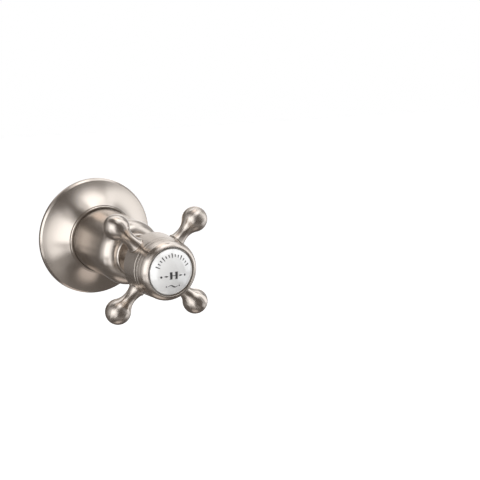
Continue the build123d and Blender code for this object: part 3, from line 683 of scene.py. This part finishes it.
# %% Moulded and ground finishes
# Each finish: dark colour, pale colour, grains a metre, depth of the grain, roughness
GRAINED = {
    "seal rubber": ((0.018, 0.018, 0.019), (0.035, 0.034, 0.033), 2600.0, 0.01 * MM, 0.55),
    "black nylon": ((0.025, 0.025, 0.026), (0.04, 0.04, 0.04), 1800.0, 0.01 * MM, 0.42),
    "white nylon": ((0.80, 0.80, 0.76), (0.86, 0.86, 0.83), 1800.0, 0.01 * MM, 0.4),
    "ground alumina": ((0.84, 0.82, 0.77), (0.90, 0.88, 0.84), 6000.0, 0.003 * MM, 0.28),
}
BLOOM_COARSER = 12
GRAIN_BUMP = 0.5


def grained(name):
    """A plain moulded or ground finish: two close colours and a fine grain."""
    dark, pale, scale, depth, gloss = GRAINED[name]
    material, tree, shader = new_finish(name, Roughness=gloss)
    grain = noise(tree, object_place(tree), scale, detail=3.0)
    bloom = noise(tree, object_place(tree), scale / BLOOM_COARSER, detail=2.0)
    feed(tree, shader.inputs["Base Color"], tinted(tree, bloom, dark, pale))
    add_bump(tree, shader, grain, depth, GRAIN_BUMP)
    return material


seal_rubber = grained("seal rubber")
guide_nylon = grained("black nylon")
washer_nylon = grained("white nylon")
ground_alumina = grained("ground alumina")
print("moulded and ground finishes:", len(GRAINED))

# %% [markdown]
# The gasket behind the flange and the cushion under the index are closed-cell foam. A Voronoi texture is
# made of cells already: its distance is dark in a cell's middle and pale at its seams. As it is, it darkens
# the colour towards the seams, a painted shade in the grooves between the cells; turned over, it gives the
# rounded height of the cells.

# %% Foam
# The darker seam colour is painted shade in the grooves between the cells, not a colour of the foam.
FOAM_SEAM_SHADE = (0.10, 0.10, 0.10)
FOAM_GREY = (0.21, 0.21, 0.205)
FOAM_CELL = 0.5 * MM
FOAM_DEPTH = 0.2 * MM
FOAM_BUMP = 0.8


def closed_cell_foam():
    """Grey foam: rounded cells, with painted shade in the grooves of their seams."""
    material, tree, shader = new_finish("gasket foam", Roughness=0.9)
    cells = tree.nodes.new("ShaderNodeTexVoronoi")
    tree.links.new(object_place(tree), cells.inputs["Vector"])
    cells.inputs["Scale"].default_value = 1 / FOAM_CELL
    from_middle = cells.outputs["Distance"]
    # Painted shade: the colour darkens towards the sunken seams between the cells.
    feed(tree, shader.inputs["Base Color"], tinted(tree, from_middle, FOAM_GREY, FOAM_SEAM_SHADE))
    add_bump(tree, shader, maths(tree, "SUBTRACT", 1.0, from_middle), FOAM_DEPTH, FOAM_BUMP)
    return material


gasket_foam = closed_cell_foam()
print("foam cells:", FOAM_CELL / MM, "mm")

# %% [markdown]
# The clip, the screws and the screw's washer are stainless steel, cut from rolled bar and sheet. Rolling
# leaves streaks one way, which is a noise pressed together along one axis.

# %% Stainless steel
STEEL_DARK = (0.52, 0.53, 0.54)
STEEL_PALE = (0.66, 0.66, 0.65)
STREAK_PRESS = (1.0, 1.0, 0.06)
STREAK_SCALE = 4000.0
STREAK_DEPTH = 0.004 * MM
STREAK_BUMP = 0.4
STREAK_SPREAD = 0.18
ROLLED_ROUGHNESS = 0.22


def rolled_steel():
    """Stainless steel with fine streaks along Z."""
    material, tree, shader = new_finish("stainless steel", Metallic=1.0)
    press = tree.nodes.new("ShaderNodeMapping")
    press.inputs["Scale"].default_value = STREAK_PRESS
    tree.links.new(object_place(tree), press.inputs["Vector"])
    streaks = noise(tree, press.outputs[0], STREAK_SCALE, detail=3.0)
    feed(tree, shader.inputs["Base Color"], tinted(tree, streaks, STEEL_DARK, STEEL_PALE))
    gloss = maths(tree, "MULTIPLY_ADD", streaks, STREAK_SPREAD, ROLLED_ROUGHNESS)
    feed(tree, shader.inputs["Roughness"], gloss)
    add_bump(tree, shader, streaks, STREAK_DEPTH, STREAK_BUMP)
    return material


steel = rolled_steel()
print("made", steel.name)

# %% [markdown]
# Each CAD node keeps its shape and gets its finish here. One table from finish to nodes is easier to
# check than a line for each node, and the last line says whether any node was forgotten.

# %% Dress the CAD nodes
FINISHES = {
    turned_nickel: ("stem", "wall_flange"),
    sleeve_nickel: ("sleeve",),
    bezel_nickel: ("index_bezel",),
    wheel_polished: ("handle",),
    porcelain: ("index_disc",),
    body_brass: ("valve_body",),
    lathe_brass: ("spindle", "headwork", "stop_ring", "sleeve_carrier", "lock_nut", "spline_bush"),
    seal_rubber: ("disc_seal", "spindle_rings", "headwork_ring", "flange_ring"),
    guide_nylon: ("stem_guide",),
    washer_nylon: ("glide_washer",),
    ground_alumina: ("fixed_disc", "moving_disc"),
    gasket_foam: ("flange_gasket", "index_cushion"),
    steel: ("spindle_clip", "grub_screw", "screw_washer", "handle_screw"),
}
for material, names in FINISHES.items():
    for name in names:
        nodes[name].data.materials.clear()
        nodes[name].data.materials.append(material)
dressed = {name for names in FINISHES.values() for name in names}
print("nodes left bare:", sorted(set(nodes) - dressed))

# %% [markdown]
# The index carries fired marks: a letter H for hot between dashes and dots, a graduated arc over it and a
# small scroll under it. They could be painted in the shader, but real geometry keeps their edges sharp at
# any size and follows the dome. The dome's curve is measured from the mesh, so that the marks still lie
# on it when the index changes.

# %% The index's dome
DOME_WITHIN = 11.3 * MM
DOME_DEEPEST = 3.2 * MM
MEASURE_SLACK = 0.02 * MM
index_corners = [vertex.co for vertex in nodes["index_disc"].data.vertices]
index_points = [(hypot(corner.x, corner.z), -corner.y) for corner in index_corners]
dome_top = max(out for reach, out in index_points)
dome_points = [(reach, out) for reach, out in index_points if out > dome_top - DOME_DEEPEST]
dome_edge_out = min(out for reach, out in dome_points if reach < DOME_WITHIN)
dome_edge_radius = max(reach for reach, out in index_points if out > dome_edge_out - MEASURE_SLACK)
dome_rise = dome_top - dome_edge_out
dome_radius = (dome_edge_radius ** 2 + dome_rise ** 2) / (2 * dome_rise)


def on_dome(x, z, lift):
    """The point of the dome in front of (x, z), lifted off it."""
    out = dome_top - dome_radius + sqrt((dome_radius + lift) ** 2 - x * x - z * z)
    return Vector((x, -out, z))


print("dome: edge radius", round(dome_edge_radius / MM, 2), "mm, rise", round(dome_rise / MM, 2), "mm")

# %% [markdown]
# Every mark starts as a flat outline. A flat face can't bend, so a square grid cuts it into small cells
# first, and then each corner of each cell can be laid on the dome. Blender's BMesh does the cutting one
# plane at a time, and it holds the finished mesh that becomes an object.

# %% From an outline to a piece
CELL = 0.6 * MM


def cut_into_cells(mesh, low, high):
    """Cuts a flat outline along a square grid."""
    for axis, normal in ((0, (1, 0, 0)), (2, (0, 0, 1))):
        steps = ceil((high[axis] - low[axis]) / CELL)
        for number in range(1, steps):
            place = Vector((0, 0, 0))
            place[axis] = low[axis] + number * CELL
            everything = mesh.verts[:] + mesh.edges[:] + mesh.faces[:]
            bmesh.ops.bisect_plane(mesh, geom=everything, plane_co=place, plane_no=normal)


def new_piece(mesh, name, finish):
    """An object from a finished mesh, in one finish."""
    bmesh.ops.recalc_face_normals(mesh, faces=mesh.faces[:])
    data = bpy.data.meshes.new(name)
    mesh.to_mesh(data)
    mesh.free()
    data.materials.append(finish)
    piece = bpy.data.objects.new(name, data)
    bpy.context.scene.collection.objects.link(piece)
    return piece


print("cells are", round(CELL / MM, 2), "mm wide")

# %% [markdown]
# Printed enamel lifts the last coat of glaze by a hair's thickness. Each flat pad is doubled: one copy is
# laid just over the dome and the other just inside it, so that no gap shows at its edge from any side.
# The marks belong to the handle's moving set, so they ride with it.

# %% Marks on the dome
MARK_LIFT = 0.035 * MM
MARK_SINK = -0.02 * MM
WELD = 0.0005 * MM


def marks_piece(name, outlines):
    """One piece of thin enamel pads on the dome, from flat outlines of (x, z) points."""
    mesh = bmesh.new()
    for outline in outlines:
        mesh.faces.new([mesh.verts.new((x, 0, z)) for x, z in outline])
    bmesh.ops.triangulate(mesh, faces=mesh.faces[:])
    low = [min(vertex.co[axis] for vertex in mesh.verts) for axis in range(3)]
    high = [max(vertex.co[axis] for vertex in mesh.verts) for axis in range(3)]
    cut_into_cells(mesh, low, high)
    bmesh.ops.remove_doubles(mesh, verts=mesh.verts[:], dist=WELD)
    lowered = bmesh.ops.extrude_face_region(mesh, geom=mesh.faces[:])
    moved = {item for item in lowered["geom"] if isinstance(item, bmesh.types.BMVert)}
    for vertex in mesh.verts:
        lift = MARK_SINK if vertex in moved else MARK_LIFT
        vertex.co = on_dome(vertex.co.x, vertex.co.z, lift)
    piece = new_piece(mesh, name, enamel)
    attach(piece, "handle_set")
    print(name, "faces:", len(piece.data.polygons))


print("marks stand", round(MARK_LIFT / MM, 3), "mm out of the dome")

# %% [markdown]
# The letter is drawn with the proportions of an engraved Roman capital: two upright strokes, a thin bar
# and slab feet whose corners are rounded into the strokes. A text object would give a font's letter, but
# a drawn outline depends on no font file.

# %% The letter
LETTER_HEIGHT = 3.7 * MM
LETTER_WIDTH = 3.5 * MM
LETTER_MIDDLE = (0.0, -1.3 * MM)
STROKE = 0.62 * MM
BAR = 0.3 * MM
FOOT_REACH = 0.42 * MM
FOOT_THICK = 0.24 * MM
FOOT_ROUND = 0.22 * MM
ROUND_STEPS = 4


def foot_corner(x, z, side, rise):
    """The rounded inner corner between a stroke's side and its foot."""
    points = []
    for step in range(ROUND_STEPS + 1):
        turn = step / ROUND_STEPS * pi / 2
        points.append((x + side * FOOT_ROUND * (1 - sin(turn)), z + rise * FOOT_ROUND * (1 - cos(turn))))
    return points


def upright_stroke(middle):
    """One upright of the letter with its feet, as a closed outline."""
    half_height, half_stroke = LETTER_HEIGHT / 2, STROKE / 2
    outline = []
    for side, rise in ((1, -1), (1, 1), (-1, 1), (-1, -1)):
        end = rise * half_height
        inner = end - rise * FOOT_THICK
        tip = middle + side * (half_stroke + FOOT_REACH)
        corner = foot_corner(middle + side * half_stroke, inner, side, -rise)
        foot = [(tip, end), (tip, inner)]
        outline += foot + corner if side * rise < 0 else corner[::-1] + foot[::-1]
    return outline


def shifted(outline, place):
    """An outline moved to its place."""
    return [(x + place[0], z + place[1]) for x, z in outline]


stroke_middle = LETTER_WIDTH / 2 - STROKE / 2
bar_half = stroke_middle - STROKE / 2
letter = [upright_stroke(-stroke_middle), upright_stroke(stroke_middle)]
letter.append([(-bar_half, -BAR / 2), (bar_half, -BAR / 2), (bar_half, BAR / 2), (-bar_half, BAR / 2)])
marks_piece("index_letter", [shifted(outline, LETTER_MIDDLE) for outline in letter])

# %% [markdown]
# A graduated arc runs over the letter, as on a dial, and a dash and a dot stand on each side of it. All
# three are drawn the way a lining brush leaves them: a round dot, and strokes that swell and taper.

# %% Brush strokes
DOT_SIDES = 14
TICK_RADIUS = 8.5 * MM
TICK_WIDTH = 0.62 * MM
TICK_SWELL = (0.5, 1.0)


def disc(x, z, radius):
    """A round dot."""
    turns = [2 * pi * number / DOT_SIDES for number in range(DOT_SIDES)]
    return [(x + radius * cos(turn), z + radius * sin(turn)) for turn in turns]


def tick(angle, length):
    """A radial stroke that is widest at its outer end."""
    along = Vector((cos(radians(angle)), sin(radians(angle))))
    across = Vector((-along.y, along.x))
    shape = list(zip((-length / 2, length / 2), TICK_SWELL))
    side = [along * (TICK_RADIUS + reach) + across * TICK_WIDTH / 2 * swell for reach, swell in shape]
    other = [along * (TICK_RADIUS + reach) - across * TICK_WIDTH / 2 * swell for reach, swell in shape]
    return [tuple(point) for point in side + other[::-1]]


def brush_line(points, widths):
    """A stroke along a few points with a width at each."""
    left_side, right_side = [], []
    for number, point in enumerate(points):
        before, after = points[max(number - 1, 0)], points[min(number + 1, len(points) - 1)]
        along = (Vector(after) - Vector(before)).normalized()
        across = Vector((-along.y, along.x)) * widths[number] / 2
        left_side.append(tuple(Vector(point) + across))
        right_side.append(tuple(Vector(point) - across))
    return left_side + right_side[::-1]


print("points in a dot:", len(disc(0, 0, MM)))

# %% [markdown]
# The ticks run clockwise round the top of the index, and every third one is long. The dashes and dots
# stand beside the letter, a little below its middle, and fill the width under the arc.

# %% Ticks, dots and dashes
TICK_COUNT = 13
TICK_START = 158
TICK_END = 22
TICK_LONG = 2.2 * MM
TICK_SHORT = 1.3 * MM
LONG_EVERY = 3
DOT_RADIUS = 0.55 * MM
DOT_REACH = 6.4 * MM
DOT_DROP = 0.4 * MM
DASH_REACHES = (2.9 * MM, 3.6 * MM, 4.3 * MM, 5.0 * MM)
DASH_WIDTHS = (0.15 * MM, 0.75 * MM, 0.6 * MM, 0.1 * MM)
DASH_DROP = 0.2 * MM

arc = []
for number in range(TICK_COUNT):
    angle = TICK_START + (TICK_END - TICK_START) * number / (TICK_COUNT - 1)
    arc.append(tick(angle, TICK_LONG if number % LONG_EVERY == 0 else TICK_SHORT))
dots = [disc(side * DOT_REACH, LETTER_MIDDLE[1] - DOT_DROP, DOT_RADIUS) for side in (-1, 1)]
dashes = []
for side in (-1, 1):
    dash = [(side * reach, LETTER_MIDDLE[1] - DASH_DROP) for reach in DASH_REACHES]
    dashes.append(brush_line(dash, DASH_WIDTHS))
marks_piece("index_arc", arc + dots + dashes)

# %% [markdown]
# The scroll under the letter is one wave of a sine curve. The brush presses hardest in its middle, so its
# width follows another sine, and a small dot ends it on each side.

# %% Scroll
SCROLL_HALF = 2.6 * MM
SCROLL_WAVE = 0.55 * MM
SCROLL_HEIGHT = -6.9 * MM
SCROLL_STEPS = 24
SCROLL_THIN = 0.22 * MM
SCROLL_PRESS = 0.42 * MM
END_DOT_GAP = 0.9 * MM
END_DOT_RADIUS = 0.36 * MM
scroll_points, scroll_widths = [], []
for step in range(SCROLL_STEPS + 1):
    share = step / SCROLL_STEPS
    x = -SCROLL_HALF + 2 * SCROLL_HALF * share
    scroll_points.append((x, SCROLL_HEIGHT + SCROLL_WAVE * sin(2 * pi * share)))
    scroll_widths.append(SCROLL_THIN + SCROLL_PRESS * sin(pi * share) ** 2)
scroll = [brush_line(scroll_points, scroll_widths)]
scroll += [disc(side * (SCROLL_HALF + END_DOT_GAP), SCROLL_HEIGHT, END_DOT_RADIUS) for side in (-1, 1)]
marks_piece("index_scroll", scroll)

# %% [markdown]
# Threads are the fine detail that CAD leaves as plain cylinders. The ports have a half-inch pipe thread
# of 1.8 mm pitch, and the brass neck has a finer one for the lock nut. A Screw modifier would make them,
# but a short loop that walks round a helix gives a clean run-out at both ends and an exact place.

# %% A thread
THREAD_STEPS = 48
# The run-out in turns, then half the ridge's width at its root and at its crest, in pitches
RUN_OUT = 0.6
FLANK = 0.42
CREST = 0.08
ROOT_OVERLAP = 0.05 * MM


def thread(name, centre, axis, start, length, radius, pitch, height):
    """A helical ridge from start along the axis; a negative height points to the axis."""
    across = Vector((1, 0, 0))
    other = axis.cross(across)
    turns = length / pitch
    count = int(turns * THREAD_STEPS)
    root = radius - ROOT_OVERLAP * (1 if height > 0 else -1)
    mesh = bmesh.new()
    rows = []
    for step in range(count + 1):
        turn = 2 * pi * step / THREAD_STEPS
        along = start + pitch * step / THREAD_STEPS
        from_end = min(step, count - step) / THREAD_STEPS
        tip = radius + height * min(1.0, from_end / RUN_OUT)
        outwards_here = across * cos(turn) + other * sin(turn)
        profile = ((-FLANK, root), (-CREST, tip), (CREST, tip), (FLANK, root))
        rows.append([
            mesh.verts.new(centre + axis * (along + shift * pitch) + outwards_here * reach)
            for shift, reach in profile
        ])
    for row, following in zip(rows, rows[1:]):
        for number in range(len(row)):
            after = (number + 1) % len(row)
            mesh.faces.new((row[number], row[after], following[after], following[number]))
    mesh.faces.new(rows[0][::-1])
    mesh.faces.new(rows[-1])
    piece = new_piece(mesh, name, lathe_brass)
    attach(piece, "valve")
    print(name, "turns:", round(turns, 1))


print("steps in a turn:", THREAD_STEPS)

# %% [markdown]
# A pipe thread starts a little inside the port's mouth, where a tap's lead leaves it shallow. The ports'
# places and sizes come from the valve's own record, and the neck's thread starts at the lock nut, so all
# three threads follow the solids.

# %% Threads of the ports and the neck
PIPE_PITCH = 1.814 * MM
PIPE_RIDGE = 0.42 * MM
PIPE_LEAD = 0.8 * MM
NECK_PITCH = 1.5 * MM
NECK_RIDGE = 0.4 * MM
NECK_RADIUS = 13.0 * MM
NECK_LEAD = 0.5 * MM
NECK_REACH = 7.4 * MM
mounts = {mount["name"]: mount for mount in frame["record"]["mounts"]}
for port in ("inlet_port", "outlet_port"):
    mount = mounts[port]
    port_length = mount["dims"]["length_mm"] * MM
    port_radius = mount["dims"]["r_mm"] * MM
    thread(
        port.replace("port", "thread"), Vector(mount["pos_m"]), Vector(mount["axis"]),
        -port_length / 2 + PIPE_LEAD, port_length - 2 * PIPE_LEAD, port_radius, PIPE_PITCH, -PIPE_RIDGE,
    )
nut_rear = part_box("lock_nut")[1].y
thread(
    "neck_thread", Vector((0, 0, 0)), Vector(LATHE_AXIS), nut_rear + NECK_LEAD, NECK_REACH - nut_rear,
    NECK_RADIUS, NECK_PITCH, NECK_RIDGE,
)
